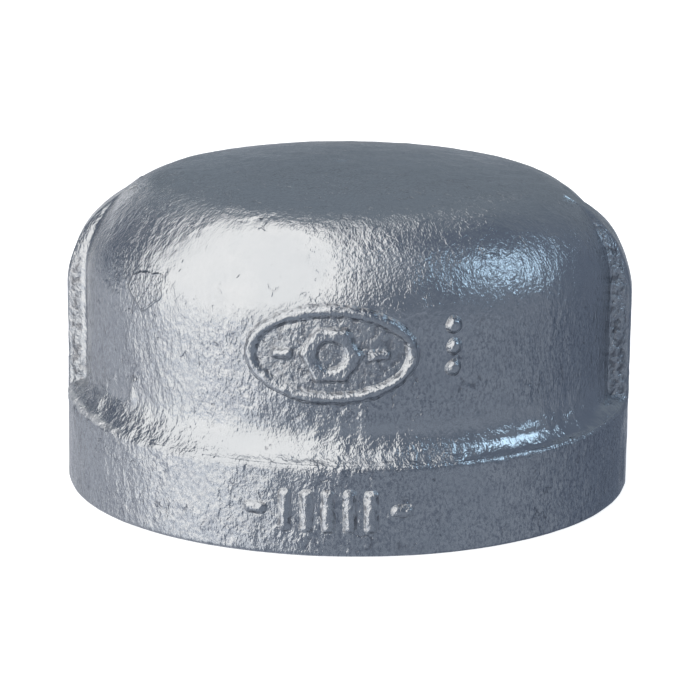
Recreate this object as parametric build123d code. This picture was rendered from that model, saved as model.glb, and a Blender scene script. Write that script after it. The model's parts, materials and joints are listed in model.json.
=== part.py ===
"""Malleable-iron pipe cap, nominal 1 1/4 in, banded, with two side ribs and a tapped mouth.

The real cap is one casting. Each of its features is a separate closed solid here, and the
solids meet face to face. Millimetres, +Z up: the origin is the centre of the mouth's rim
plane, +Z points to the crown, and the raised marks face -Y.
"""
from build123d import *
from build123d.topology import SkipClean
from math import atan2, ceil, cos, degrees, isclose, radians, sin, sqrt, tan
import os

# ---- driving dimensions -------------------------------------------------------------------
# outside of the casting
HEIGHT = 30.4
BAND_R = 26.5
BAND_HEIGHT = 8.4
BAND_BOTTOM_ROUND = 0.4
BAND_TOP_ROUND = 0.2
WALL_R = 24.65
FLARE_R = 3.0            # hollow curve that carries the wall out to the band
FLARE_TURN = 63.0        # degrees it turns through
SHOULDER_R = 9.2
CROWN_R = 97.0           # slight dome of the closed end

# inside of the casting
CHAMBER_R = 21.4         # relief chamber above the thread
CROWN_THICKNESS = 3.8
INNER_SHOULDER_R = 6.5
INNER_CROWN_R = 90.0

# pipe thread Rp 1 1/4 (ISO 7-1): parallel, right-hand, 11 threads to the inch, 55 degrees
PITCH = 25.4 / 11
THREAD_MINOR_R = 38.952 / 2
THREAD_MAJOR_R = 41.910 / 2
CREST_FLAT = PITCH / 6
FLANK_ANGLE = 27.5
SOCKET_R = 22.3          # where the tapped sleeve meets the outer casting
SOCKET_LENGTH = 17.6
MOUTH_CHAMFER_R = 21.5   # 45 degree lead-in, just wider than the thread
SOCKET_SECTORS = 8       # the bore's wall is made in this many equal sectors
THREAD_OVERCUT = 0.15    # how far the groove's cutter stands in from the crests

# side ribs
RIB_WIDTH = 6.0
RIB_EDGE_ROUND = 0.7
RIB_STRAIGHT_TOP = 18.3  # height where the rib's outer edge starts to curve inwards
RIB_ARC_R = 10.8
RIB_ARC_TURN = 66.0      # degrees, where the rib has almost sunk into the shoulder
RIB_ROOT_R = 17.0        # inner end of the block that the rib is cut from
RIB_GAP = 0.01           # hairline between the rib's curved root and the wall

# cutting solids
CLEARANCE = 2.0          # how far a cutter stands out past the casting
SLACK = 1e-3             # tolerance for finding edges by position

# raised marks on the front
PUNCH_DEPTH = 13.0       # how far in from the front a mark's outline is pushed
MARK_HEIGHT = 0.45
MEDALLION_Z = 17.8
MEDALLION_LENGTH = 15.2
MEDALLION_WIDTH = 8.6
MEDALLION_RIM = 0.85
HEXAGON_R = 2.7          # centre to corner
HEXAGON_HOLE_R = 1.25
HEXAGON_BAR = (1.7, 0.75)
HEXAGON_BAR_OFFSET = 4.3  # from the hexagon's centre to the middle of each bar beside it
DOT_R = 0.6
DOT_SPACING = 1.9
DOT_COUNT = 3
DOTS_Z = 18.3
DOTS_TURN = 25.4         # degrees from the front, towards +X
TALLY_HEIGHT = 0.35
TALLY_Z = 4.2
TALLY_BAR = (0.85, 3.6)  # width and height of an upright bar
TALLY_DASH = (1.7, 0.8)
TALLY_SPACING = 1.9
TALLY_COUNT = 5
TALLY_DASH_OFFSET = 6.6  # from the middle bar to the middle of each end dash


# ---- outlines of the round casting, in the XZ plane ----------------------------------------
def polar(centre, radius, angle):
    """Point at an angle in degrees, measured from +X, on a circle in the XZ plane."""
    return (centre[0] + radius * cos(radians(angle)), centre[1] + radius * sin(radians(angle)))


def arc(centre, radius, start, end):
    """Arc between two angles in degrees, as a three-point arc in the XZ plane."""
    points = [polar(centre, radius, a) for a in (start, (start + end) / 2, end)]
    return ThreePointArc(*[(x, 0, z) for x, z in points])


def line(a, b):
    return Line((a[0], 0, a[1]), (b[0], 0, b[1]))


def revolve_outline(edges):
    """Solid of revolution about Z from a closed outline in the XZ plane."""
    return revolve(make_face(edges), Axis.Z, 360)


def shoulder_centre(wall_r, crown_r, shoulder_r, top):
    """Centre of the arc that joins a vertical wall to a domed crown, and the arc's end angle."""
    crown_z = top - crown_r
    x = wall_r - shoulder_r
    z = crown_z + sqrt((crown_r - shoulder_r) ** 2 - x ** 2)
    return (x, z), degrees(atan2(z - crown_z, x))


def dome_edges(wall_r, crown_r, shoulder_r, top, foot_z):
    """Edges from the wall's foot, over the shoulder, to the axis at the top of the crown."""
    centre, end = shoulder_centre(wall_r, crown_r, shoulder_r, top)
    shoulder = arc(centre, shoulder_r, 0, end)
    crown = arc((0, top - crown_r), crown_r, end, 90)
    return [line((wall_r, foot_z), (wall_r, centre[1])), shoulder, crown]


def outer_body(grow=0.0):
    """The filled outside above the band, flare and all, with every surface moved out by grow."""
    wall_r, top = WALL_R + grow, HEIGHT + grow
    centre = (WALL_R + FLARE_R, BAND_HEIGHT + FLARE_R * sin(radians(FLARE_TURN)))
    low = polar(centre, FLARE_R - grow, 180 + FLARE_TURN)
    edges = dome_edges(wall_r, CROWN_R + grow, SHOULDER_R + grow, top, centre[1])
    edges.append(arc(centre, FLARE_R - grow, 180, 180 + FLARE_TURN))
    if grow:
        edges.append(line(low, (low[0], BAND_HEIGHT)))
    edges += [line((low[0], BAND_HEIGHT), (0, BAND_HEIGHT)), line((0, BAND_HEIGHT), (0, top))]
    return revolve_outline(edges)


def hollow():
    """The chamber above the thread and the seat of the tapped sleeve, as one filled solid."""
    top = HEIGHT - CROWN_THICKNESS
    edges = dome_edges(CHAMBER_R, INNER_CROWN_R, INNER_SHOULDER_R, top, SOCKET_LENGTH)
    edges += [
        line((CHAMBER_R, SOCKET_LENGTH), (SOCKET_R, SOCKET_LENGTH)),
        line((SOCKET_R, SOCKET_LENGTH), (SOCKET_R, 0)),
        line((SOCKET_R, 0), (0, 0)),
        line((0, 0), (0, top)),
    ]
    return revolve_outline(edges)


# ---- sub-parts of the casting --------------------------------------------------------------
def crown_shell():
    return outer_body() - hollow()


def mouth_band():
    """Ring round the mouth, with its outer edges slightly rounded."""
    b, t = BAND_BOTTOM_ROUND, BAND_TOP_ROUND
    edges = [
        line((SOCKET_R, 0), (BAND_R - b, 0)),
        arc((BAND_R - b, b), b, -90, 0),
        line((BAND_R, b), (BAND_R, BAND_HEIGHT - t)),
        arc((BAND_R - t, BAND_HEIGHT - t), t, 0, 90),
        line((BAND_R - t, BAND_HEIGHT), (SOCKET_R, BAND_HEIGHT)),
        line((SOCKET_R, BAND_HEIGHT), (SOCKET_R, 0)),
    ]
    return revolve_outline(edges)


def thread_turn():
    """One turn of the groove between the thread's crests, starting at z = 0."""
    half_root = CREST_FLAT / 2
    inner = THREAD_MINOR_R - THREAD_OVERCUT
    half_mouth = half_root + (THREAD_MAJOR_R - inner) * tan(radians(FLANK_ANGLE))
    helix = Helix(pitch=PITCH, height=PITCH, radius=THREAD_MINOR_R)
    groove = Polyline(
        (inner, 0, -half_mouth),
        (THREAD_MAJOR_R, 0, -half_root),
        (THREAD_MAJOR_R, 0, half_root),
        (inner, 0, half_mouth),
        close=True,
    )
    return sweep(make_face(groove), path=helix, is_frenet=True)


def threaded_socket():
    """Tapped sleeve: a chamfered bore at the thread's minor radius, with the helical groove cut in.

    The sleeve is joined from equal sectors, and the joins are kept, so that each stretch of the
    thread's crest is a face of its own.
    """
    chamfer = MOUTH_CHAMFER_R - THREAD_MINOR_R
    outline = make_face([
        line((SOCKET_R, 0), (MOUTH_CHAMFER_R, 0)),
        line((MOUTH_CHAMFER_R, 0), (THREAD_MINOR_R, chamfer)),
        line((THREAD_MINOR_R, chamfer), (THREAD_MINOR_R, SOCKET_LENGTH)),
        line((THREAD_MINOR_R, SOCKET_LENGTH), (SOCKET_R, SOCKET_LENGTH)),
        line((SOCKET_R, SOCKET_LENGTH), (SOCKET_R, 0)),
    ])
    sector_angle = 360 / SOCKET_SECTORS
    sector = revolve(outline, Axis.Z, sector_angle)
    turn = thread_turn()
    with SkipClean():
        sleeve = sector
        for i in range(1, SOCKET_SECTORS):
            sleeve = sleeve + Rot(0, 0, i * sector_angle) * sector
        # The first turn starts below the mouth, and the last runs out into the chamber.
        for i in range(-1, ceil(SOCKET_LENGTH / PITCH) + 1):
            sleeve = sleeve - Pos(0, 0, i * PITCH) * turn
    return sleeve


def side_rib(side):
    """Wrench rib on the +X (side 1) or -X (side -1) side, flush with the band.

    Its curved upper end runs down into the shoulder.
    """
    centre = (BAND_R - RIB_ARC_R, RIB_STRAIGHT_TOP)
    tip = polar(centre, RIB_ARC_R, RIB_ARC_TURN)
    outline = [
        line((RIB_ROOT_R, BAND_HEIGHT), (BAND_R, BAND_HEIGHT)),
        line((BAND_R, BAND_HEIGHT), (BAND_R, RIB_STRAIGHT_TOP)),
        arc(centre, RIB_ARC_R, 0, RIB_ARC_TURN),
        line(tip, (RIB_ROOT_R, RIB_STRAIGHT_TOP)),
        line((RIB_ROOT_R, RIB_STRAIGHT_TOP), (RIB_ROOT_R, BAND_HEIGHT)),
    ]
    swept = revolve_outline(outline)
    slab = Box(BAND_R + CLEARANCE, RIB_WIDTH, HEIGHT, align=(Align.MIN, Align.CENTER, Align.MIN))
    block = swept & slab
    flank_edges = [e for e in block.edges() if isclose(abs(e.center().Y), RIB_WIDTH / 2, abs_tol=SLACK)]
    # the long ones outside the socket: the straight edge and the curved one, on both flanks
    outer_edges = [e for e in flank_edges if e.center().X > SOCKET_R and e.length > RIB_WIDTH]
    block = fillet(outer_edges, RIB_EDGE_ROUND)
    rib = block - outer_body(RIB_GAP)
    return rib if side > 0 else mirror(rib, Plane.YZ)


# ---- raised marks --------------------------------------------------------------------------
def raise_from(sketch, z, outer, inner, turn=0.0):
    """Pads with a flat sketch's outline, standing out of the front by outer's lead over inner."""
    front = Plane(origin=(0, -BAND_R - CLEARANCE, z), x_dir=(1, 0, 0), z_dir=(0, -1, 0))
    punch = extrude(front * sketch, amount=-PUNCH_DEPTH)
    return Rot(0, 0, turn) * ((punch & outer) - inner)


def medallion_rim():
    half_length, half_width = MEDALLION_LENGTH / 2, MEDALLION_WIDTH / 2
    oval = Ellipse(half_length, half_width)
    oval -= Ellipse(half_length - MEDALLION_RIM, half_width - MEDALLION_RIM)
    return raise_from(oval, MEDALLION_Z, outer_body(MARK_HEIGHT), outer_body())


def medallion_hexagon():
    """Hexagon with a round hole, between two bars: a nut on a pipe."""
    bars = [Pos(side * HEXAGON_BAR_OFFSET, 0) * Rectangle(*HEXAGON_BAR) for side in (-1, 1)]
    nut = RegularPolygon(HEXAGON_R, 6) - Circle(HEXAGON_HOLE_R)
    return raise_from(Sketch() + [nut, *bars], MEDALLION_Z, outer_body(MARK_HEIGHT), outer_body())


def pattern_dots():
    """Column of round dots, a pattern number in a form that holds no digits."""
    half_column = (DOT_COUNT - 1) / 2
    dots = Sketch() + [
        Pos(0, (i - half_column) * DOT_SPACING) * Circle(DOT_R) for i in range(DOT_COUNT)
    ]
    return raise_from(dots, DOTS_Z, outer_body(MARK_HEIGHT), outer_body(), turn=DOTS_TURN)


def band_tally_bars():
    """Row of upright bars between two dashes, on the band."""
    half_row = (TALLY_COUNT - 1) / 2
    marks = [
        Pos((i - half_row) * TALLY_SPACING, 0) * Rectangle(*TALLY_BAR) for i in range(TALLY_COUNT)
    ]
    marks += [Pos(side * TALLY_DASH_OFFSET, 0) * Rectangle(*TALLY_DASH) for side in (-1, 1)]
    upright = (Align.CENTER, Align.CENTER, Align.MIN)
    outer = Cylinder(BAND_R + TALLY_HEIGHT, BAND_HEIGHT, align=upright)
    inner = Cylinder(BAND_R, BAND_HEIGHT, align=upright)
    return raise_from(Sketch() + marks, TALLY_Z, outer, inner)


# ---- the cap -------------------------------------------------------------------------------
PARTS = {
    "crown_shell": crown_shell,
    "mouth_band": mouth_band,
    "threaded_socket": threaded_socket,
    "side_rib_left": lambda: side_rib(-1),
    "side_rib_right": lambda: side_rib(1),
    "medallion_rim": medallion_rim,
    "medallion_hexagon": medallion_hexagon,
    "pattern_dots": pattern_dots,
    "band_tally_bars": band_tally_bars,
}

os.makedirs("parts", exist_ok=True)
for node, make in PARTS.items():
    export_step(make(), f"parts/{node}.step")
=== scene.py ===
import json
import math
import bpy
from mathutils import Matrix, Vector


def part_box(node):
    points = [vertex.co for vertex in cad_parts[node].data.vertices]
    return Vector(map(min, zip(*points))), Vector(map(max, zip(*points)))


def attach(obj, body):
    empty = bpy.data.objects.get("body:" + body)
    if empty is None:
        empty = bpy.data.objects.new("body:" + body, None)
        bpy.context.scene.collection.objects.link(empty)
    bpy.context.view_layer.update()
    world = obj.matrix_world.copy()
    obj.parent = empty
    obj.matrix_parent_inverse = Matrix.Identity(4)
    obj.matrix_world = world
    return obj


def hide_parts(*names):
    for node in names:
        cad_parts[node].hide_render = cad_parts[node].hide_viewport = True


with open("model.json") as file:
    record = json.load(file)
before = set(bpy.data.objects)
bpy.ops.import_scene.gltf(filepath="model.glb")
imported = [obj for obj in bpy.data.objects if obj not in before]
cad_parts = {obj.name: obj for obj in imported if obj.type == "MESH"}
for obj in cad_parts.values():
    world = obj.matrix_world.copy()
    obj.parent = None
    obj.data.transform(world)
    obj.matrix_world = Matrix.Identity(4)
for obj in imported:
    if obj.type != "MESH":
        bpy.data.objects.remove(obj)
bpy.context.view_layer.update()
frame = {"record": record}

from types import SimpleNamespace

import bmesh
import bpy
import numpy as np
from mathutils import Matrix, Vector

MM = 0.001
PI = math.pi
SAME_PLACE = 1e-7        # metres, under which two points of a mesh become one

# ---- sizes, in millimetres ----
# read from the frame
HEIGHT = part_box("crown_shell")[1][2] / MM
BAND_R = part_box("mouth_band")[1][0] / MM
BAND_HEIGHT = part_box("mouth_band")[1][2] / MM
SOCKET_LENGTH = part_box("threaded_socket")[1][2] / MM
MOUNTS = {m["name"]: m for m in frame["record"]["mounts"]}
THREAD_MINOR_R = MOUNTS["pipe_thread"]["dims"]["r_mm"]

# the casting's curves
WALL_R = 24.65
FLARE_R = 3.5
FLARE_TURN = 54.0
SHOULDER_R = 9.2
CROWN_R = 97.0
BAND_TOP_ROUND = 0.75
BAND_BOTTOM_ROUND = 0.45
CHAMBER_R = 21.4
CROWN_THICKNESS = 3.8
INNER_SHOULDER_R = 6.5
INNER_CROWN_R = 90.0
SOCKET_R = 22.3
MOUTH_CHAMFER_R = 21.5

# the pipe thread: 11 threads to the inch, 55 degree flanks, rounded crests and roots
PITCH = 25.4 / 11
THREAD_DEPTH = 0.640327 * PITCH
SHARP_DEPTH = 0.960491 * PITCH
THREAD_MAJOR_R = THREAD_MINOR_R + THREAD_DEPTH

# the side ribs
# half of the cross-section: distance from the middle, height above the wall
RIB_SECTION = [
    (4.6, -0.12), (4.25, -0.03), (3.98, 0.0), (3.78, 0.05), (3.62, 0.18), (3.46, 0.44), (3.3, 0.76),
    (3.08, 1.1), (2.82, 1.42), (2.58, 1.68), (2.42, 1.79), (2.15, 1.84), (1.5, 1.85), (0.7, 1.85),
    (0.0, 1.85),
]
RIB_STRAIGHT_TOP = 18.3
RIB_ARC_R = 10.8
RIB_ARC_TURN = 66.0

# the raised marks
MEDALLION_Z = 17.8
MEDALLION_HALF_LENGTH, MEDALLION_HALF_WIDTH, MEDALLION_RIM = 7.6, 4.3, 0.85
NUT_CORNER_R, NUT_HOLE_R = 2.7, 1.25
NUT_BAR_AT, NUT_BAR_HALF_LENGTH, NUT_BAR_HALF_WIDTH = 4.3, 0.85, 0.375
DOTS_Z, DOTS_TURN = 18.3, 25.4
DOT_R, DOT_SPACING = 0.6, 1.9
TALLY_Z = 4.2
TALLY_SPACING, TALLY_BAR_HALF_WIDTH, TALLY_BAR_HALF_HEIGHT = 1.9, 0.425, 1.8
DASH_AT, DASH_HALF_LENGTH, DASH_HALF_WIDTH = 6.6, 0.85, 0.4
MARK_HEIGHT, TALLY_HEIGHT = 0.45, 0.35

# how far the skin's mean level lies under the design surface, and the least gap to the CAD's box
SKIN_DEPTH = 0.05
BOX_GAP = 0.004

# mesh spacing
SKIN_STEP = 0.27
INSIDE_STEP = 0.6
EDGE_STEP = 0.12
MARK_STEP = 0.1
RIB_STEP = 0.24
RIB_SECTION_STEP = 0.13
SKIN_COLUMNS = 576
SOCKET_COLUMNS = 480
THREAD_ROWS = 16         # rows of points in one turn of the thread
SEED = 41


# ---- noise ----
_draw = np.random.RandomState(SEED)
_shuffle = np.concatenate([_draw.permutation(256)] * 3)
_slopes = _draw.normal(size=(256, 3))
_slopes /= np.linalg.norm(_slopes, axis=1)[:, None]


def noise(points, wavelength, stretch=(1, 1, 1)):
    """Smooth gradient noise, about -1 to 1, at points in millimetres.

    Where a call adds a number to the points, it only picks another part of the noise.
    """
    p = np.asarray(points) / (np.array(stretch) * wavelength)
    cell = np.floor(p).astype(int)
    f = p - cell
    fade = f * f * f * (f * (f * 6 - 15) + 10)
    total = np.zeros(len(p))
    for corner in np.ndindex(2, 2, 2):
        c = (cell + corner) & 255
        g = _slopes[_shuffle[_shuffle[_shuffle[c[:, 0]] + c[:, 1]] + c[:, 2]]]
        weight = np.prod(np.where(corner, fade, 1 - fade), axis=1)
        total += weight * np.einsum("ij,ij->i", g, f - corner)
    full_scale = 1.7
    return total * full_scale


def smooth(x, low, high):
    """0 to 1 as x goes from low to high, eased at both ends; high may be the smaller of the two."""
    t = np.clip((np.asarray(x, float) - low) / (high - low), 0, 1)
    return t * t * (3 - 2 * t)


# ---- places on the cap ----
def degrees_round(points):
    """Degrees round the axis from the front, positive towards +X."""
    return np.degrees(np.arctan2(points[:, 0], -points[:, 1]))


def degrees_from_rib(points):
    """Degrees round the axis from the middle of the nearer rib."""
    return np.abs(np.abs(degrees_round(points)) - 90)


def from_axis(points):
    return np.hypot(points[:, 0], points[:, 1])


def on_outside(points):
    """True on the band and the outer wall, and False on the inside and over most of the crown."""
    return from_axis(points) > SOCKET_R + 1.0


# ---- zinc drips: (degrees round from the front, height of the bead, length up, width, swell) --
DRIPS_BY_HAND = [
    (-48.2, 11.1, 1.5, 0.42, 0.30), (-56.2, 12.1, 0.5, 0.34, 0.16), (-60.6, 9.4, 0.6, 0.55, 0.24),
]

# strewn over the wall and over the band: how many, and the range of each of the last four values
STREWN_DRIPS = [
    (34, (9.6, 14), (1.2, 4.5), (0.28, 0.6), (0.05, 0.13)),
    (14, (0.7, 3.5), (1.0, 3.0), (0.3, 0.6), (0.03, 0.09)),
]


def make_drips():
    rng = np.random.RandomState(SEED + 1)
    drips = list(DRIPS_BY_HAND)
    for count, low, length, width, swell in STREWN_DRIPS:
        for _ in range(count):
            bead = rng.uniform(*low)
            place = rng.uniform(-180, 180)
            drips.append((place, bead, rng.uniform(*length), rng.uniform(*width), rng.uniform(*swell)))
    return drips


DRIPS = make_drips()


def drip_relief(points):
    """Height of the frozen zinc drips: a bead with a thinning tail above it."""
    angle, radius = degrees_round(points), from_axis(points)
    total = np.zeros(len(points))
    for at, low, length, width, swell in DRIPS:
        side = (np.mod(angle - at + 180, 360) - 180) * PI / 180 * radius
        up = points[:, 2] - low
        along = np.where(up < 0, np.exp(-(up / width) ** 2), np.exp(-(up / length) ** 2))
        total += swell * along * np.exp(-(side / (width * (0.55 + 0.45 * along))) ** 2)
    return total


# ---- the cast and galvanised skin ----
# In this section a smooth() of z fades something in or out between two heights in millimetres,
# and a smooth() of an angle does so between two angles in degrees.
def sweep_up(points):
    """Raises the band's top edge and the flare beside each rib, a little more at the left one."""
    from_rib, z = degrees_from_rib(points), points[:, 2]
    left_rise = 0.42 * smooth(from_rib, 47, 16)
    right_rise = 0.35 * smooth(from_rib, 34, 12)
    rise = np.where(points[:, 0] < 0, left_rise, right_rise)
    share = smooth(z, 6.6, 8.5) * smooth(z, 11.4, 8.9) * on_outside(points)
    return points + np.c_[0 * z, 0 * z, rise * share]


def tighten_flare(points):
    """Draws the flare back towards the wall beside the ribs, so that their feet stand free of it."""
    radius, z = from_axis(points), points[:, 2]
    beside_rib = smooth(degrees_from_rib(points), 26, 12)
    in_flare = smooth(z, 8.75, 9.3) * smooth(z, 12.4, 11.6) * (radius > WALL_R + 0.05)
    drawn = radius - 0.75 * beside_rib * in_flare * (radius - WALL_R)
    scale = drawn / np.maximum(radius, 1e-9)
    return points * np.c_[scale, scale, 1 + 0 * z]


def foot_crumbs(points):
    """1 in the crumbly casting by the left rib's foot and up to 0.5 by the right one's, 0 elsewhere."""
    from_rib, z = degrees_from_rib(points), points[:, 2]
    share = np.where(points[:, 0] < 0, smooth(from_rib, 44, 20), 0.5 * smooth(from_rib, 22, 8))
    return share * on_outside(points) * smooth(z, 7.2, 7.8) * smooth(z, 14.2, 11.0)


def edge_burr_and_highlight(points):
    """1 along the ragged burr of zinc on the band's top edge, from the left rib to the front; painted
    highlight.
    """
    angle = degrees_round(points)
    z = points[:, 2] + 0.16 * noise(points + 57.0, 1.3)
    line = smooth(z, 7.92, 8.14) * smooth(z, 8.62, 8.38)
    return line * smooth(angle, -100, -92) * smooth(angle, -42, -58) * on_outside(points)


def cast_relief(points, rough=0.0):
    """How far the skin stands off its design surface: each term is a height times some noise."""
    z = points[:, 2]
    lumps = 0.034 * noise(points, 6.5) + 0.026 * noise(points + 31.0, 3.1)
    peel = 0.026 * noise(points + 67.0, 1.7, (1, 1, 1.3)) + 0.012 * noise(points + 11.0, 0.9, (1, 1, 1.2))
    mottle = 0.07 * noise(points + 93.0, 1.3) + 0.08 * noise(points + 5.0, 0.62)
    beads = 0.06 * noise(points + 51.0, 1.25, (1, 1, 1.5)) * smooth(z, 9.2, 10.0) * smooth(z, 12.8, 10.9)
    ragged_edge = 0.06 * noise(points + 29.0, 0.95) * smooth(z, 7.4, 8.1) * smooth(z, 9.2, 8.6)
    crumbs = (0.10 * noise(points + 77.0, 0.8) + 0.05 * noise(points + 41.0, 0.45)) * foot_crumbs(points)
    coat = lumps + peel + beads + ragged_edge + crumbs + 0.07 * edge_burr_and_highlight(points)
    return coat + drip_relief(points) * (1 - rough) + rough * mottle - SKIN_DEPTH


# ---- meshes ----
def add_object(name, data):
    obj = bpy.data.objects.new(name, data)
    bpy.context.scene.collection.objects.link(obj)
    return obj


def add_mesh(name, verts, faces, fields=None, most_r=BAND_R):
    """Mesh object from millimetre points kept within a radius, with a float attribute per field."""
    verts = np.array(verts, float)
    verts[:, :2] *= np.minimum(1, (most_r - BOX_GAP) / np.maximum(from_axis(verts), 1e-9))[:, None]
    verts[:, 2] = np.clip(verts[:, 2], 0, HEIGHT)
    mesh = bpy.data.meshes.new(name)
    mesh.from_pydata((verts * MM).tolist(), [], faces)
    for key, values in (fields or {}).items():
        mesh.attributes.new(key, "FLOAT", "POINT").data.foreach_set("value", np.asarray(values, np.float32))
    bm = bmesh.new()
    bm.from_mesh(mesh)
    bmesh.ops.remove_doubles(bm, verts=bm.verts, dist=SAME_PLACE)
    bmesh.ops.dissolve_degenerate(bm, edges=bm.edges, dist=SAME_PLACE)
    bmesh.ops.recalc_face_normals(bm, faces=bm.faces)
    bm.to_mesh(mesh)
    bm.free()
    mesh.polygons.foreach_set("use_smooth", [True] * len(mesh.polygons))
    return add_object(name, mesh)


def arc(centre, radius, start, end, step):
    """Points on a circle between two angles in degrees, about step apart."""
    count = max(2, int(round(abs(math.radians(end - start)) * radius / step)))
    a = np.radians(np.linspace(start, end, count + 1))
    return np.c_[centre[0] + radius * np.cos(a), centre[1] + radius * np.sin(a)]


def line(start, end, step):
    count = max(1, int(round(math.dist(start, end) / step)))
    return np.linspace(start, end, count + 1)


def join(*runs):
    """One outline from runs of points, without the doubled point where two runs meet."""
    points = [runs[0]]
    for run in runs[1:]:
        same = np.allclose(points[-1][-1], run[0], atol=1e-6)
        points.append(run[1:] if same else run)
    return np.concatenate(points)


def outline_normals(outline, closed):
    if closed:
        t = np.roll(outline, -1, axis=0) - np.roll(outline, 1, axis=0)
    else:
        t = np.gradient(outline, axis=0)
    t /= np.linalg.norm(t, axis=1)[:, None] + 1e-12
    return np.c_[-t[:, 1], t[:, 0]]


def spun(outline, closed):
    """Rings of points round Z for an outline of (r, z) points, with fewer columns near the axis.

    It gives the points, their normals, each point's place along the outline, and the faces.
    """
    fewest, narrowest = 18, 0.62 * SKIN_STEP
    side = outline_normals(outline, closed)
    points, normals, rows, rings, start = [], [], [], [], 0
    for i, (r, z) in enumerate(outline):
        count = SKIN_COLUMNS
        while count > fewest and 2 * PI * r / count < narrowest:
            count //= 2
        if r < 1e-6:
            count = 1
        a = 2 * PI * np.arange(count) / count
        c, s = np.cos(a), np.sin(a)
        points.append(np.c_[r * c, r * s, np.full(count, z)])
        normals.append(np.c_[side[i, 0] * c, side[i, 0] * s, np.full(count, side[i, 1])])
        rows.append(np.full(count, i))
        rings.append(np.arange(start, start + count))
        start += count
    faces = []
    pairs = list(zip(rings, rings[1:])) + ([(rings[-1], rings[0])] if closed else [])
    for a, b in pairs:
        faces += stitch(a.tolist(), b.tolist())
    return np.concatenate(points), np.concatenate(normals), np.concatenate(rows), faces


def stitch(a, b):
    """Faces between two rings whose counts are equal, or differ by a factor of two, or end at a point."""
    if len(a) < len(b):
        return stitch(b, a)
    n = len(a)
    if len(b) == n:
        return [(a[i], a[(i + 1) % n], b[(i + 1) % n], b[i]) for i in range(n)]
    if len(b) == 1:
        return [(a[i], a[(i + 1) % n], b[0]) for i in range(n)]
    m, faces = len(b), []
    for j in range(m):
        left, mid, right = a[2 * j], a[2 * j + 1], a[(2 * j + 2) % n]
        low, high = b[j], b[(j + 1) % m]
        faces += [(left, mid, low), (mid, right, high), (mid, high, low)]
    return faces


def two_layer_faces(keep):
    """Faces of a grid's kept cells in two layers, with a side wall along every open edge."""
    cell = keep[:-1, :-1] & keep[1:, :-1] & keep[:-1, 1:] & keep[1:, 1:]
    columns, size = keep.shape[1], keep.size
    faces, edges = [], {}
    for i, j in np.argwhere(cell):
        q = (i * columns + j, (i + 1) * columns + j, (i + 1) * columns + j + 1, i * columns + j + 1)
        faces.append(q)
        faces.append(tuple(size + k for k in reversed(q)))
        for s, e in zip(q, q[1:] + q[:1]):
            if (e, s) in edges:
                del edges[(e, s)]
            else:
                edges[(s, e)] = True
    return faces + [(e, s, size + s, size + e) for s, e in edges]


# ---- outlines of the casting ----
def dome_centre(wall_r, crown_r, shoulder_r, top):
    """Centre of the round shoulder between a wall and a crown, and the angle where it ends."""
    x = wall_r - shoulder_r
    z = top - crown_r + math.sqrt((crown_r - shoulder_r) ** 2 - x * x)
    return (x, z), math.degrees(math.atan2(z - top + crown_r, x))


SHOULDER_CENTRE, SHOULDER_END = dome_centre(WALL_R, CROWN_R, SHOULDER_R, HEIGHT)
FLARE_CENTRE = (WALL_R + FLARE_R, BAND_HEIGHT + FLARE_R * math.sin(math.radians(FLARE_TURN)))


def polar(centre, radius, angle):
    a = math.radians(angle)
    return centre[0] + radius * math.cos(a), centre[1] + radius * math.sin(a)


FLARE_FOOT = polar(FLARE_CENTRE, FLARE_R, 180 + FLARE_TURN)


def band_edge_centre():
    """Centre of the band's top round, which starts along the flare's own slope."""
    slope = math.radians(90 - FLARE_TURN)
    start_r = BAND_R - BAND_TOP_ROUND * (1 - math.sin(slope))
    drop = (start_r - FLARE_FOOT[0]) * math.tan(slope)
    return BAND_R - BAND_TOP_ROUND, FLARE_FOOT[1] - drop - BAND_TOP_ROUND * math.cos(slope)


EDGE_CENTRE = band_edge_centre()


def crown_outline():
    """The crown's outline, outside first and then inside, and how many points are outside."""
    inner_top = HEIGHT - CROWN_THICKNESS
    inner_centre, inner_end = dome_centre(CHAMBER_R, INNER_CROWN_R, INNER_SHOULDER_R, inner_top)
    s, t = SKIN_STEP, INSIDE_STEP
    under_edge, under_edge_turn = BAND_TOP_ROUND - 0.03, 40
    outside = join(
        arc((0, HEIGHT - CROWN_R), CROWN_R, 90, SHOULDER_END, s),
        arc(SHOULDER_CENTRE, SHOULDER_R, SHOULDER_END, 0, s),
        line((WALL_R, SHOULDER_CENTRE[1]), (WALL_R, FLARE_CENTRE[1]), s),
        arc(FLARE_CENTRE, FLARE_R, 180, 180 + FLARE_TURN, s * 0.7),
        # It goes on for a little just under the band's top round.
        arc(EDGE_CENTRE, under_edge, FLARE_TURN, FLARE_TURN - under_edge_turn, EDGE_STEP),
    )
    outside[0, 0] = 0
    # The rest of its foot is hidden in the band, and its back is just inside the socket.
    foot_r, foot_z, back_r = FLARE_FOOT[0] - 0.35, BAND_HEIGHT - 0.6, SOCKET_R - 0.1
    inside = join(
        line((foot_r, foot_z), (back_r, foot_z), 1.5),
        line((back_r, foot_z), (back_r, SOCKET_LENGTH), 2.0),
        line((back_r, SOCKET_LENGTH), (CHAMBER_R, SOCKET_LENGTH), t),
        line((CHAMBER_R, SOCKET_LENGTH), (CHAMBER_R, inner_centre[1]), t),
        arc(inner_centre, INNER_SHOULDER_R, 0, inner_end, t),
        arc((0, inner_top - INNER_CROWN_R), INNER_CROWN_R, inner_end, 90, t),
    )
    inside[-1, 0] = 0
    return join(outside, inside), len(outside)


# a lifted flake of zinc on the left shoulder: corners as (degrees round, height)
FLAKE_CORNERS = [(-49.4, 22.5), (-39.8, 23.1), (-38.8, 21.3), (-44.8, 19.5), (-50.0, 21.4)]


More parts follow.
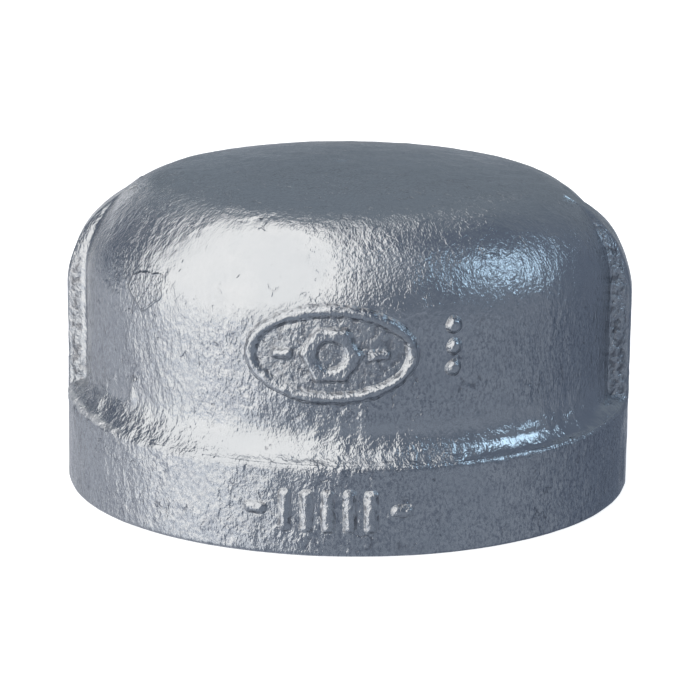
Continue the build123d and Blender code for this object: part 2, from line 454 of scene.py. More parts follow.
def flake_mask(points):
    """0 outside the flake and 1 well inside it, rising over about a millimetre at a ragged edge."""
    scale = math.radians(1) * WALL_R
    around, z = degrees_round(points) * scale, points[:, 2]
    corners = np.array(FLAKE_CORNERS) * (scale, 1)
    inside = np.full(len(points), np.inf)
    for (a, b), (c, d) in zip(corners, np.roll(corners, -1, axis=0)):
        across, up = c - a, d - b
        length = math.hypot(across, up)
        inside = np.minimum(inside, (across * (b - z) - up * (a - around)) / length)
    ragged = 0.3 * noise(points, 1.6) + 0.15 * noise(points, 0.8)
    outer = from_axis(points) > CHAMBER_R + 1
    return np.where(outer, np.clip(0.5 + inside + ragged, 0, 1), 0)


def pool_mask(points):
    """1 in a smooth pool of zinc on the shoulder's left, and 0.85 on the right of the flare."""
    middle_angle, middle_z, half_angle, half_height = -21, 25.0, 23, 3.4
    angle, z = degrees_round(points), points[:, 2]
    outer = from_axis(points) > CHAMBER_R - 4
    reach = np.hypot((angle - middle_angle) / half_angle, (z - middle_z) / half_height)
    ragged = 0.22 * noise(points + 17.0, 2.4) + 0.16 * noise(points + 37.0, 0.9)
    shoulder = smooth(reach + ragged, 1.12, 0.78) * (z > BAND_HEIGHT)
    flare = smooth(z, 8.2, 8.6) * smooth(z, 10.0, 9.4) * smooth(angle, 22, 36) * smooth(angle, 86, 72)
    return np.maximum(shoulder, 0.85 * flare) * outer


def dullness(points):
    """How far the zinc has weathered: 1 on wall and band, 0.4 on the crown, 0 on shoulder and flare."""
    z = points[:, 2]
    wall = smooth(z, 11.0, 12.5) * smooth(z, SHOULDER_CENTRE[1] + 2.5, SHOULDER_CENTRE[1] - 2.0)
    top = 0.4 * smooth(from_axis(points), 18.5, 15.0)
    band = smooth(z, BAND_HEIGHT - 0.1, BAND_HEIGHT - 0.5)
    return np.clip(wall + band + top, 0, 1)


def medallion_field(points):
    """1 on the wall inside the medallion's rim."""
    inset = 0.3
    around = np.arctan2(points[:, 0], -points[:, 1]) * WALL_R
    along = around / (MEDALLION_HALF_LENGTH - inset)
    across = (points[:, 2] - MEDALLION_Z) / (MEDALLION_HALF_WIDTH - inset)
    return smooth(np.hypot(along, across), 1.05, 0.85)


def crown_casting():
    outline, outer_rows = crown_outline()
    points, normals, rows, faces = spun(outline, False)
    outer = rows < outer_rows
    inner_skin = ~outer & (points[:, 2] > SOCKET_LENGTH + 0.3)
    points = tighten_flare(points)
    burr = edge_burr_and_highlight(points)
    rough = np.where(inner_skin, 0.45, 0.0)
    relief = cast_relief(points, rough) * (outer | inner_skin)
    points = sweep_up(points + outward(points, normals, outer) * relief[:, None])
    # The medallion's field is made sandy, so it takes the painted shade of the sand's hollows.
    field_sand = 0.6 * medallion_field(points) * outer
    sandy = np.max([rough, field_sand, 0.4 * foot_crumbs(points)], axis=0)
    fields = {"sandy": sandy, "dull": dullness(points), "flake": flake_mask(points),
              "pool": pool_mask(points), "burr": burr}
    return add_mesh("crown_casting", points, faces, fields)


def outward(points, normals, outer):
    """Normals that point out of the metal: away from a middle point outside, and towards it inside."""
    middle = np.array([0, 0, 12.0])
    out = points - middle
    sign = np.where(np.einsum("ij,ij->i", normals, out) >= 0, 1.0, -1.0) * np.where(outer, 1.0, -1.0)
    return normals * sign[:, None]


def band_outline():
    """The band's outline, and the radius at which it comes out from under the flare."""
    slope = math.radians(90 - FLARE_TURN)
    under_flare = 0.6
    # The edge lies a hair above the crown's own outline, so that the two share no surface.
    hair = 0.003
    edge = arc((EDGE_CENTRE[0], EDGE_CENTRE[1] + hair), BAND_TOP_ROUND, FLARE_TURN, 0, step=0.1)
    hidden_r = edge[0][0] - under_flare * math.cos(slope)
    low = arc((BAND_R - BAND_BOTTOM_ROUND, BAND_BOTTOM_ROUND), BAND_BOTTOM_ROUND, 0, -90, EDGE_STEP)
    # Its first points and its last one are hidden in the casting.
    outline = join(
        np.array([(SOCKET_R, BAND_HEIGHT - 1.2), (hidden_r, BAND_HEIGHT - 1.2)]),
        line((hidden_r, BAND_HEIGHT - 0.2), edge[0], SKIN_STEP),
        edge,
        line(edge[-1], low[0], SKIN_STEP),
        low,
        line(low[-1], (MOUTH_CHAMFER_R, 0), SKIN_STEP * 1.3),
        np.array([(MOUTH_CHAMFER_R, 0.25), (SOCKET_R, 1.4)]),
    )
    return outline, hidden_r + 0.1


def band_casting():
    outline, comes_out_r = band_outline()
    points, normals, _, faces = spun(outline, True)
    z = points[:, 2]
    visible = (z < 0.02) | (from_axis(points) > comes_out_r)
    # The normals are turned to point away from the axis, or else up and down from the middle.
    out = points - np.array([0, 0, 4.0])
    radial = points * np.array([1, 1, 0])
    radial /= np.linalg.norm(radial, axis=1)[:, None]
    inwards = np.einsum("ij,ij->i", normals, radial * 0.8 + out * 0.01) < 0
    normals[inwards] *= -1
    burr = edge_burr_and_highlight(points)
    # The relief is weaker on the rim that the cap stands on, and doesn't stand out below it.
    relief = cast_relief(points) * (1 - 0.6 * smooth(z, 0.25, 0.02))
    relief = np.where(z < 0.3, np.minimum(relief, 0), relief)
    points = sweep_up(points + normals * (relief * visible)[:, None])
    # No weathering along the burr, so that its painted highlight stays pale.
    fields = {"sandy": 0.4 * foot_crumbs(points), "dull": dullness(points) * (1 - burr), "burr": burr}
    return add_mesh("band_casting", points, faces, fields)


# ---- side ribs ----
def rib_stations():
    """Pairs of points (on the rib's outer line, on the wall under it) from the band to the tip."""
    centre = (BAND_R - RIB_ARC_R, RIB_STRAIGHT_TOP)
    under_band = 1.3
    heights = line((0, BAND_HEIGHT - under_band), (0, RIB_STRAIGHT_TOP), RIB_STEP)[:, 1]
    outer = [(BAND_R, z) for z in heights]
    inner = [(WALL_R, z) for z in heights]
    turns = np.linspace(0, RIB_ARC_TURN, int(RIB_ARC_R * math.radians(RIB_ARC_TURN) / RIB_STEP))[1:]
    for turn in turns:
        c, s = math.cos(math.radians(turn)), math.sin(math.radians(turn))
        reach = (WALL_R - centre[0]) / max(c, 1e-6)
        if centre[1] + reach * s > SHOULDER_CENTRE[1]:
            dx, dz = centre[0] - SHOULDER_CENTRE[0], centre[1] - SHOULDER_CENTRE[1]
            b = dx * c + dz * s
            reach = -b + math.sqrt(b * b - dx * dx - dz * dz + SHOULDER_R ** 2)
        # The rib's back sinks a little as it turns over on to the shoulder.
        lowered = 0.13 * smooth(turn, 2, 22) + 0.34 * smooth(turn, 28, 56)
        outer.append(polar(centre, RIB_ARC_R - lowered, turn))
        inner.append((centre[0] + reach * c, centre[1] + reach * s))
    return np.array(outer), np.array(inner)


def rib_section():
    """The rib's cross-section: distances from its middle, and heights as a share of full."""
    knots = np.array(RIB_SECTION)
    # One more point at each end gives the curve its direction there.
    before, after = 2 * knots[0] - knots[1], knots[-1] * [-1, 1] - [0.4, 0]
    ends = np.concatenate([[before], knots, [after]])
    points = []
    # A smooth curve through the knots, as one cubic from each knot to the next.
    for a, b, c, d in zip(ends, ends[1:], ends[2:], ends[3:]):
        count = max(1, int(round(np.linalg.norm(c - b) / RIB_SECTION_STEP)))
        t = (np.arange(count) / count)[:, None]
        points.append(0.5 * (2 * b + (c - a) * t + (2 * a - 5 * b + 4 * c - d) * t ** 2
                             + (3 * b - a - 3 * c + d) * t ** 3))
    half = np.concatenate(points + [knots[-1:]])
    across, share = half[:, 0], half[:, 1] / (BAND_R - WALL_R)
    return np.concatenate([-across, across[-2::-1]]), np.concatenate([share, share[-2::-1]])


def rib_grid(outer, inner, across, share):
    """Points of the rib's surface, station by station, for a rib at +X."""
    foot_r, foot_height = 0.6, 0.7
    grid = np.zeros((len(outer), len(across), 3))
    for i, height in enumerate(np.linalg.norm(outer - inner, axis=1)):
        above_band = inner[i, 1] - BAND_HEIGHT
        # The foot spreads into the flare above the band, and goes on under the band's own side.
        into_foot = min(foot_r, max(0.0, foot_height - above_band))
        spread = foot_r - math.sqrt(foot_r ** 2 - into_foot ** 2)
        lateral = np.sign(across) * (np.abs(across) + 0.8 * spread * np.clip(1 - 0.6 * share, 0, 1))
        sink = 0.14 * smooth(-above_band, 0.35, 0.8)
        # Towards its tip the rib narrows to a point as it melts into the shoulder.
        lateral = lateral * (0.35 + 0.65 * smooth(height, -0.15, 0.9))
        lift = np.where(share < 0, share * (BAND_R - WALL_R) / max(height, 0.3), share)
        p = inner[i] + (outer[i] - inner[i]) * lift[:, None]
        x = np.sqrt(np.maximum((p[:, 0] - sink) ** 2 - lateral ** 2, 1.0))
        grid[i] = np.c_[x, lateral, p[:, 1]]
    return grid


def side_rib(name, side):
    """One rib: side is -1 for the left one, which is smooth at its top, and 1 for the right one."""
    outer, inner = rib_stations()
    across, share = rib_section()
    grid = rib_grid(outer, inner, across, share)
    stations, columns = grid.shape[:2]
    normal = np.cross(np.gradient(grid, axis=1), np.gradient(grid, axis=0))
    normal /= np.linalg.norm(normal, axis=2)[..., None] + 1e-12
    if normal[stations // 3, columns // 2, 0] < 0:
        normal = -normal
    # The flanks are rough from this share of the rib's height, and up to this height on the cap.
    rough_from, rough_top = (0.24, 23.0) if side < 0 else (0.02, 27.0)
    rough_share = smooth(share, rough_from, rough_from + 0.1) * smooth(share, 0.88, 0.72)
    rough = rough_share[None, :] * smooth(inner[:, 1], rough_top, rough_top - 3.5)[:, None]
    rough = rough.reshape(-1)
    flip = np.array([side, 1, 1])
    plain = grid.reshape(-1, 3) * flip
    relief = np.minimum(cast_relief(plain, rough) + 0.03, 0.3 * rough)
    top = plain + normal.reshape(-1, 3) * flip * relief[:, None]
    # A second layer inside the wall closes the rib.
    in_wall, in_shoulder = 0.8, 0.5
    y = grid[..., 1]
    r = np.repeat(inner[:, :1] - in_wall, columns, axis=1)
    z = np.repeat(inner[:, 1:] - in_shoulder * (inner[:, 1:] > SHOULDER_CENTRE[1]), columns, axis=1)
    under = np.stack([side * np.sqrt(np.maximum(r ** 2 - y ** 2, 1.0)), y, z], axis=-1).reshape(-1, 3)
    verts = sweep_up(np.concatenate([top, under]))
    sandy = np.concatenate([np.maximum(rough, 0.4 * foot_crumbs(top)), rough * 0])
    # The right rib's flanks get more of the darker blotches and patina than the left one's: painted shade on
    # the right rib.
    dull = (0.3 if side < 0 else 1.0) * sandy
    faces = two_layer_faces(np.ones((stations, columns), bool))
    return add_mesh(name, verts, faces, {"sandy": sandy, "dull": dull})


# ---- raised marks ----
def wall_point(arc_length, z, lift, centre_angle):
    """A point on the front of the casting, lifted off it: arc_length is measured on its wall."""
    on_band = z < BAND_HEIGHT
    radius = np.where(on_band, BAND_R, WALL_R)
    angle = arc_length / radius + math.radians(centre_angle)
    over = np.clip((z - SHOULDER_CENTRE[1]) / SHOULDER_R, 0, 0.99)
    lean = np.where(on_band, 0.0, np.arcsin(over))
    r = np.where(on_band | (over <= 0), radius, SHOULDER_CENTRE[0] + SHOULDER_R * np.cos(lean))
    r = r + lift * np.cos(lean)
    z = z + lift * np.sin(lean)
    return np.stack([r * np.sin(angle), -r * np.cos(angle), z], axis=-1)


def raised_mark(name, inside_distance, z, half_length, half_width, height, angle):
    """Cast marks: inside_distance(a, b) is the distance inside the mark's edge, negative outside."""
    a = np.arange(-half_length, half_length + MARK_STEP / 2, MARK_STEP)
    b = np.arange(-half_width, half_width + MARK_STEP / 2, MARK_STEP)
    grid_a, grid_b = np.meshgrid(a, b, indexing="ij")
    depth = inside_distance(grid_a, grid_b)
    plain = wall_point(grid_a, z + grid_b, 0 * grid_a, angle).reshape(-1, 3)
    ragged = 0.08 * noise(plain + 7.0, 0.9) + 0.04 * noise(plain + 3.0, 0.45)
    ragged += 0.07 * noise(plain + 13.0, 2.2)
    depth = depth + ragged.reshape(depth.shape)
    height = height * (0.93 + 0.07 * noise(plain + 19.0, 2.0).reshape(depth.shape))
    # A soft-sided swelling, with a shallow groove just outside it.
    swell = smooth(depth, -0.26, 0.34)
    sink = 0.08 * smooth(-depth, 0.12, 0.42)
    relief = cast_relief(plain).reshape(depth.shape)
    proud, buried, skirt = 0.012, 0.6, 0.44
    lift = height * swell - sink + proud + relief * (1 - 0.35 * swell)
    top = wall_point(grid_a, z + grid_b, lift, angle)
    under = wall_point(grid_a, z + grid_b, 0 * lift - buried, angle)
    faces = two_layer_faces(depth > -skirt)
    verts = np.concatenate([top.reshape(-1, 3), under.reshape(-1, 3)])
    used = sorted({k for face in faces for k in face})
    place = {old: new for new, old in enumerate(used)}
    faces = [tuple(place[k] for k in face) for face in faces]
    # The groove round each mark is made sandy, which gives it the painted shade of the sand's hollows.
    groove = (0.9 * smooth(depth, -0.42, -0.25) * smooth(depth, 0.12, -0.08)).reshape(-1)
    sandy = np.concatenate([groove, 0 * groove])[used]
    fields = {"sandy": sandy, "dull": np.full(len(used), 0.4)}
    return add_mesh(name, verts[used], faces, fields, most_r=math.inf)


def bar_depth(a, b, half_a, half_b):
    """Distance inside a bar with rounded corners."""
    corner = 0.25
    x, y = np.abs(a) - half_a + corner, np.abs(b) - half_b + corner
    outside = np.hypot(np.maximum(x, 0), np.maximum(y, 0))
    return corner - outside - np.minimum(np.maximum(x, y), 0)


def oval_ring_depth(a, b):
    mid_a, mid_b = MEDALLION_HALF_LENGTH - MEDALLION_RIM / 2, MEDALLION_HALF_WIDTH - MEDALLION_RIM / 2
    scale = np.hypot(a / mid_a, b / mid_b) + 1e-9
    slope = np.hypot(a / mid_a ** 2, b / mid_b ** 2) / scale + 1e-9
    return MEDALLION_RIM / 2 - np.abs(scale - 1) / slope


def nut_depth(a, b):
    """A hexagon with a round hole, between two short bars."""
    flat = NUT_CORNER_R * math.cos(PI / 6)
    angles = np.radians([30, 90, 150])
    face = np.max([np.abs(a * np.cos(t) + b * np.sin(t)) for t in angles], axis=0)
    ring = np.minimum(flat - face, np.hypot(a, b) - NUT_HOLE_R)
    bars = [bar_depth(a - side * NUT_BAR_AT, b, NUT_BAR_HALF_LENGTH, NUT_BAR_HALF_WIDTH) for side in (-1, 1)]
    return np.max([ring] + bars, axis=0)


def dots_depth(a, b):
    return np.max([DOT_R - np.hypot(a, b - k * DOT_SPACING) for k in (-1, 0, 1)], axis=0)


def tally_depth(a, b):
    """Five upright bars between two dashes."""
    half_width, half_height = TALLY_BAR_HALF_WIDTH, TALLY_BAR_HALF_HEIGHT
    bars = [bar_depth(a - k * TALLY_SPACING, b, half_width, half_height) for k in (-2, -1, 0, 1, 2)]
    dashes = [bar_depth(a - side * DASH_AT, b, DASH_HALF_LENGTH, DASH_HALF_WIDTH) for side in (-1, 1)]
    return np.max(bars + dashes, axis=0)


# ---- thread ----
def thread_radius(phase):
    """Bore radius over one pitch: 55 degree flanks with rounded crests and roots."""
    rounding = 1.25
    wave = np.abs(np.mod(phase, 1.0) - 0.5) * 2
    straight = THREAD_MINOR_R - (SHARP_DEPTH - THREAD_DEPTH) / 2 + wave * SHARP_DEPTH
    mid, half = (THREAD_MINOR_R + THREAD_MAJOR_R) / 2, THREAD_DEPTH / 2
    return mid + half * np.tanh((straight - mid) / half * rounding) / math.tanh(1.35 * rounding)


def threaded_socket():
    """The tapped sleeve, with rows of points that follow the thread's own helix."""
    turn = np.arange(SOCKET_COLUMNS + 1)[:, None] / SOCKET_COLUMNS
    thread_rows = (math.ceil(SOCKET_LENGTH / PITCH) + 3) * THREAD_ROWS + 1
    phase = np.arange(thread_rows)[None, :] / THREAD_ROWS
    z = np.clip(PITCH * (phase + turn - 2), 0, SOCKET_LENGTH)
    bore = thread_radius(z / PITCH - turn)
    mouth_chamfer = MOUTH_CHAMFER_R - z
    end_chamfer = THREAD_MINOR_R + 0.5 - (SOCKET_LENGTH - z)
    r = np.max([bore, mouth_chamfer, end_chamfer], axis=0)
    c, s = np.cos(2 * PI * turn), np.sin(2 * PI * turn)
    inner = np.stack([r * c, r * s, z], axis=-1)
    back = (SOCKET_R - 0.25) * np.stack([c, s, 0 * turn], axis=-1)
    grid = np.concatenate([back + [0, 0, 0.35], inner, back + [0, 0, SOCKET_LENGTH]], axis=1)
    rows = grid.shape[1]
    faces = []
    for i in range(SOCKET_COLUMNS):
        j = (i + 1) % SOCKET_COLUMNS
        shift = THREAD_ROWS if j == 0 else 0
        for m in range(rows):
            m2 = (m + 1) % rows
            over, up = seam_row(m, shift, rows), seam_row(m2, shift, rows)
            quad = (i * rows + m, i * rows + m2, j * rows + up, j * rows + over)
            quad = tuple(dict.fromkeys(quad))
            if len(quad) > 2:
                faces.append(quad)
    return add_mesh("tapped_socket", grid[:-1].reshape(-1, 3), faces)


def seam_row(m, shift, rows):
    """The row that continues row m one turn on, with the two closing rows left in place."""
    if shift == 0 or m in (0, rows - 1):
        return m
    return min(m + shift, rows - 2)


# ---- materials ----
# The scale of a texture is how many of its features lie in a metre.
class Nodes:
    """Small helper that adds nodes to a tree and links them."""

    def __init__(self, tree):
        self.tree = tree

    def add(self, kind, inputs=None, **settings):
        node = self.tree.nodes.new(kind)
        for key, value in settings.items():
            setattr(node, key, value)
        for key, value in (inputs or {}).items():
            if isinstance(value, bpy.types.NodeSocket):
                self.tree.links.new(value, node.inputs[key])
            else:
                node.inputs[key].default_value = value
        return node

    def noise(self, vector, scale, detail=3.0, roughness=0.55, distortion=0.0):
        node = self.add("ShaderNodeTexNoise", {
            "Vector": vector, "Scale": scale, "Detail": detail, "Roughness": roughness,
            "Distortion": distortion})
        return node.outputs["Fac"]

    def ranged(self, value, low, high, to_low=0.0, to_high=1.0, smooth_step=True):
        """value from low to high, turned into to_low to to_high and held there beyond."""
        node = self.add("ShaderNodeMapRange", {
            "Value": value, "From Min": low, "From Max": high, "To Min": to_low, "To Max": to_high},
            interpolation_type="SMOOTHSTEP" if smooth_step else "LINEAR")
        return node.outputs["Result"]

    def blend(self, factor, a, b):
        node = self.add("ShaderNodeMix", {0: factor, 2: a, 3: b}, data_type="FLOAT")
        return node.outputs[0]

    def math(self, operation, a, b):
        return self.add("ShaderNodeMath", {0: a, 1: b}, operation=operation).outputs[0]

    def times(self, a, b):
        return self.math("MULTIPLY", a, b)

    def vector(self, operation, inputs, output=0):
        return self.add("ShaderNodeVectorMath", inputs, operation=operation).outputs[output]

    def mix(self, factor, a, b):
        node = self.add("ShaderNodeMix", {0: factor, 6: a, 7: b}, data_type="RGBA")
        return node.outputs[2]

    def bump(self, height, distance, normal=None):
        inputs = {"Height": height, "Distance": distance, "Strength": 1.0}
        if normal:
            inputs["Normal"] = normal
        return self.add("ShaderNodeBump", inputs).outputs["Normal"]


def new_material(name):
    material = bpy.data.materials.new(name)
    material.use_nodes = True
    tree = material.node_tree
    tree.nodes.clear()
    nodes = Nodes(tree)
    shader = nodes.add("ShaderNodeBsdfPrincipled")
    output = nodes.add("ShaderNodeOutputMaterial")
    tree.links.new(shader.outputs[0], output.inputs[0])
    return material, nodes, shader


def drained_coordinates(n, place):
    """Coordinates in which the coating's grain is drawn out down the wall, as the zinc drained.

    The first two follow the way round the axis, and the third the way down from the crown's
    middle. The second output is 0 on the middle of the crown and 1 on the shoulder and wall.
    """
    parts = n.add("ShaderNodeSeparateXYZ", {0: place})
    flat = n.add("ShaderNodeCombineXYZ", {0: parts.outputs[0], 1: parts.outputs[1]}).outputs[0]
    radius = n.vector("LENGTH", {0: flat}, "Value")
    turn = n.vector("NORMALIZE", {0: flat})
    around = n.vector("SCALE", {0: turn, "Scale": WALL_R * MM})
    down = n.times(n.math("SUBTRACT", parts.outputs[2], radius), 0.62)
    lift = n.add("ShaderNodeCombineXYZ", {2: down}).outputs[0]
    drawn = n.vector("ADD", {0: around, 1: lift})
    return drawn, n.ranged(radius, 11.0 * MM, 18.0 * MM)


def skin_noise(n, skin, scale, detail, roughness):
    """Noise that is drawn out down the wall, and plain on the middle of the crown."""
    plain = n.noise(skin.place, scale, detail, roughness)
    return n.blend(skin.on_side, plain, n.noise(skin.drawn, scale, detail, roughness))


def zinc_fields(n):
    """What the zinc's colour, roughness and relief are made from: mesh attributes and noises."""
    skin = SimpleNamespace()
    skin.place = n.add("ShaderNodeTexCoord").outputs["Object"]
    skin.drawn, skin.on_side = drained_coordinates(n, skin.place)
    for name in ("sandy", "dull", "flake", "pool", "burr"):
        setattr(skin, name, n.add("ShaderNodeAttribute", attribute_name=name).outputs["Fac"])
    skin.sand = n.noise(skin.place, 1500.0, 3.0, 0.6, 0.2)
    pit = n.add("ShaderNodeTexVoronoi", {"Vector": skin.place, "Scale": 560.0, "Randomness": 1.0})
    chosen = n.ranged(n.noise(skin.place, 700.0, 2.0), 0.60, 0.70)
    skin.pits = n.times(n.ranged(pit.outputs["Distance"], 0.05, 0.17, 1.0, 0.0), chosen)
    skin.creases = crease_lines(n, skin.place, skin.drawn)
    skin.cloud = n.noise(skin.place, 130.0, 4.0, 0.6, 0.4)
    skin.blotch = n.noise(skin.place, 420.0, 4.0, 0.65)
    spangle = n.ranged(skin_noise(n, skin, 4000.0, 4.0, 0.8), 0.46, 0.59)
    patina = n.times(spangle, n.ranged(skin.cloud, 0.30, 0.60, 0.45, 0.95))
    skin.patina = n.times(patina, n.ranged(skin.dull, 0.0, 1.0, 0.06, 1.0, False))
    return skin


def zinc_colour(n, skin):
    """Two zinc shades, blotches, patina; painted shade in creases, pits and sand hollows; the burr's painted
    highlight.
    """
    cloudy = n.ranged(skin.cloud, 0.35, 0.65)
    base = n.mix(cloudy, (0.545, 0.57, 0.605, 1), (0.585, 0.605, 0.635, 1))
    blotches = n.times(n.ranged(skin.blotch, 0.50, 0.72, 0.0, 0.45), skin.dull)
    base = n.mix(blotches, base, (0.42, 0.44, 0.49, 1))
    base = n.mix(skin.patina, base, (0.34, 0.365, 0.415, 1))
    # Dark along the creases, more where the zinc is weathered: painted shade.
    base = n.mix(n.times(skin.creases, n.ranged(skin.dull, 0.0, 1.0, 0.1, 0.6)), base, (0.17, 0.18, 0.21, 1))
    # Near black in the pits: painted shade.
    base = n.mix(n.times(skin.pits, 0.7), base, (0.10, 0.10, 0.12, 1))
    # Dark in the low points of the sand's relief: on sandy patches, round the marks and by the rib feet.
    # This is painted shade.
    hollow_shade = n.times(skin.sandy, n.ranged(skin.sand, 0.40, 0.52, 0.58, 0.0))
    base = n.mix(hollow_shade, base, (0.14, 0.14, 0.16, 1))
    # The pale burr: real raised zinc in the relief, and a painted highlight in the colour.
    return n.mix(n.times(skin.burr, 0.8), base, (0.80, 0.815, 0.84, 1))


def zinc_roughness(n, skin):
    """Uneven all over, and more on the burr, the patina and the sandy patches."""
    rough = n.ranged(skin.blotch, 0.3, 0.7, 0.12, 0.23)
    for field, more in ((skin.burr, 0.2), (skin.patina, 0.04), (skin.sandy, 0.16)):
        rough = n.math("ADD", rough, n.times(field, more))
    return rough


def zinc_relief(n, skin):
    """Bump from the orange peel, grain, sand, flake, creases and pits, each with its height."""
    peel_side = n.noise(skin.drawn, 1450.0, 2.5, 0.55, 0.3)
    peel_top = n.noise(skin.place, 1150.0, 2.5, 0.55, 0.3)
    peel = n.blend(skin.on_side, peel_top, peel_side)
    grain = skin_noise(n, skin, 4200.0, 2.0, 0.6)
    # The peel is uneven, and weaker above the wall and in the pool.
    in_pool = n.ranged(skin.pool, 0.0, 1.0, 1.0, 0.3, False)
    height = n.add("ShaderNodeSeparateXYZ", {0: skin.place}).outputs[2]
    calm = n.ranged(n.noise(skin.place, 240.0, 3.0, 0.6), 0.36, 0.62, 0.40, 1.2)
    calm = n.times(n.times(calm, n.ranged(height, 19 * MM, 22 * MM, 1.0, 0.7)), in_pool)
    lumps = n.times(n.math("SUBTRACT", skin.sand, 0.5), n.math("MAXIMUM", skin.sandy, skin.burr))
    flake_edge = n.times(n.ranged(skin.flake, 0.3, 0.5), n.ranged(skin.flake, 0.5, 0.7, 1.0, 0.25))
    crinkle = n.times(n.noise(skin.place, 2000.0, 2.0, 0.6, 0.8), n.ranged(skin.flake, 0.4, 0.6))
    normal = None
    for relief, distance in (
            (n.times(peel, calm), 0.19), (n.times(grain, in_pool), 0.065), (lumps, 0.34),
            (flake_edge, 0.065), (crinkle, 0.21), (skin.creases, -0.03), (skin.pits, -0.06)):
        normal = n.bump(relief, distance * MM, normal)
    return normal


def zinc_material():
    """Hot-dip zinc over a sand-cast skin: orange peel, pits, patina and sandy patches."""
    material, n, shader = new_material("galvanised_zinc")
    skin = zinc_fields(n)
    shader.inputs["Metallic"].default_value = 1.0
    n.tree.links.new(zinc_colour(n, skin), shader.inputs["Base Color"])
    n.tree.links.new(zinc_roughness(n, skin), shader.inputs["Roughness"])
    n.tree.links.new(zinc_relief(n, skin), shader.inputs["Normal"])
    return material


def crease_lines(n, place, drawn):
    """Short creases where one lap of zinc froze against the next; their dark colour is painted shade."""
    wander = n.add("ShaderNodeTexNoise", {"Vector": place, "Scale": 900.0, "Detail": 3.0}).outputs["Color"]
    wander = n.vector("SCALE", {0: wander, "Scale": 1.6 * MM})
    bent = n.vector("ADD", {0: drawn, 1: wander})
    cells = n.add("ShaderNodeTexVoronoi", {"Vector": bent, "Scale": 420.0}, feature="DISTANCE_TO_EDGE")
    chosen = n.ranged(n.noise(place, 520.0, 3.0, 0.6), 0.56, 0.66)
    return n.times(n.ranged(cells.outputs["Distance"], 0.0, 0.05, 1.0, 0.0), chosen)


def tapped_material():
    """Bare iron cut by the tap: dark, oily, with fine rings left by the tool."""
    material, n, shader = new_material("tapped_iron")
    link = n.tree.links.new
    place = n.add("ShaderNodeTexCoord").outputs["Object"]
    rings = n.add("ShaderNodeMapping", {"Vector": place, "Scale": (0.12, 0.12, 1.0)}).outputs[0]
    lines = n.noise(rings, 5200.0, 3.0, 0.6)
    cloud = n.noise(place, 260.0, 4.0, 0.6)
    spots = n.noise(place, 1100.0, 3.0, 0.65)
    base = n.mix(n.ranged(cloud, 0.35, 0.7), (0.30, 0.295, 0.29, 1), (0.20, 0.185, 0.17, 1))
    base = n.mix(n.ranged(spots, 0.62, 0.74, 0.0, 0.6), base, (0.16, 0.09, 0.05, 1))
    link(base, shader.inputs["Base Color"])
    shader.inputs["Metallic"].default_value = 1.0
    link(n.ranged(cloud, 0.3, 0.7, 0.24, 0.42), shader.inputs["Roughness"])
    link(n.bump(lines, 0.02 * MM), shader.inputs["Normal"])
    return material


def floor_material():
    material, n, shader = new_material("pale_floor")
    place = n.add("ShaderNodeTexCoord").outputs["Object"]
    mottle = n.noise(place, 40.0, 3.0)
    tint = n.mix(mottle, (0.90, 0.90, 0.90, 1), (0.93, 0.93, 0.93, 1))
    n.tree.links.new(tint, shader.inputs["Base Color"])
    shader.inputs["Roughness"].default_value = 0.9
    shader.inputs["Emission Color"].default_value = (1, 1, 1, 1)
    shader.inputs["Emission Strength"].default_value = 0.8
    return material


# ---- the object ----
zinc = zinc_material()
iron = tapped_material()


def place_piece(piece, material, slot, *nodes):
    piece.data.materials.append(material)
    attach(piece, "root")
    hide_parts(*nodes)


ZINC_SLOT, IRON_SLOT = "galvanised_casting", "tapped_iron"
place_piece(crown_casting(), zinc, ZINC_SLOT, "crown_shell")
place_piece(band_casting(), zinc, ZINC_SLOT, "mouth_band")
place_piece(side_rib("left_wrench_rib", -1), zinc, ZINC_SLOT, "side_rib_left")
place_piece(side_rib("right_wrench_rib", 1), zinc, ZINC_SLOT, "side_rib_right")
place_piece(threaded_socket(), iron, IRON_SLOT, "threaded_socket")
marks = [
    # name, shape, height on the cap, half of its grid's length and width, relief, turn, CAD node
    ("cast_medallion_rim", oval_ring_depth, MEDALLION_Z, 8.3, 5.0, MARK_HEIGHT, 0.0, "medallion_rim"),
    ("cast_medallion_hexagon", nut_depth, MEDALLION_Z, 5.9, 3.2, MARK_HEIGHT, 0.0, "medallion_hexagon"),
    ("cast_pattern_dots", dots_depth, DOTS_Z, 1.2, 3.1, MARK_HEIGHT, DOTS_TURN, "pattern_dots"),
    ("cast_band_tally", tally_depth, TALLY_Z, 8.2, 2.4, TALLY_HEIGHT, 0.0, "band_tally_bars"),
]
for name, depth, z, half_length, half_width, height, angle, node in marks:
    piece = raised_mark(name, depth, z, half_length, half_width, height, angle)
    place_piece(piece, zinc, ZINC_SLOT, node)


# ---- stage, light and camera ----
def direction(azimuth, elevation):
    """Unit vector from the cap: azimuth 0 is towards the front (-Y), positive towards +X."""
    a, e = math.radians(azimuth), math.radians(elevation)
    return Vector((math.sin(a) * math.cos(e), -math.cos(a) * math.cos(e), math.sin(e)))


def softbox(name, azimuth, elevation, width, height, radiance, colour):
    """Rectangular light of a given radiance, facing the cap. Its lengths are in metres."""
    distance = 0.6
    data = bpy.data.lights.new(name, "AREA")
    data.shape = "RECTANGLE"
    data.size, data.size_y = width, height
    data.energy = radiance * PI * width * height
    data.color = colour
    light = add_object(name, data)
    light.location = direction(azimuth, elevation) * distance
    light.rotation_euler = direction(azimuth, elevation).to_track_quat("Z", "Y").to_euler()
    light.visible_camera = False
    return light


def make_floor():
    half = 3.0
    corners = [(-half, -half, 0), (half, -half, 0), (half, half, 0), (-half, half, 0)]
    mesh = bpy.data.meshes.new("floor")
    mesh.from_pydata(corners, [], [(0, 1, 2, 3)])
    floor = add_object("floor", mesh)
    floor.data.materials.append(floor_material())
    # The metal mirrors the studio and not the floor, so the band isn't washed out.
    floor.visible_glossy = False
    floor.visible_shadow = False


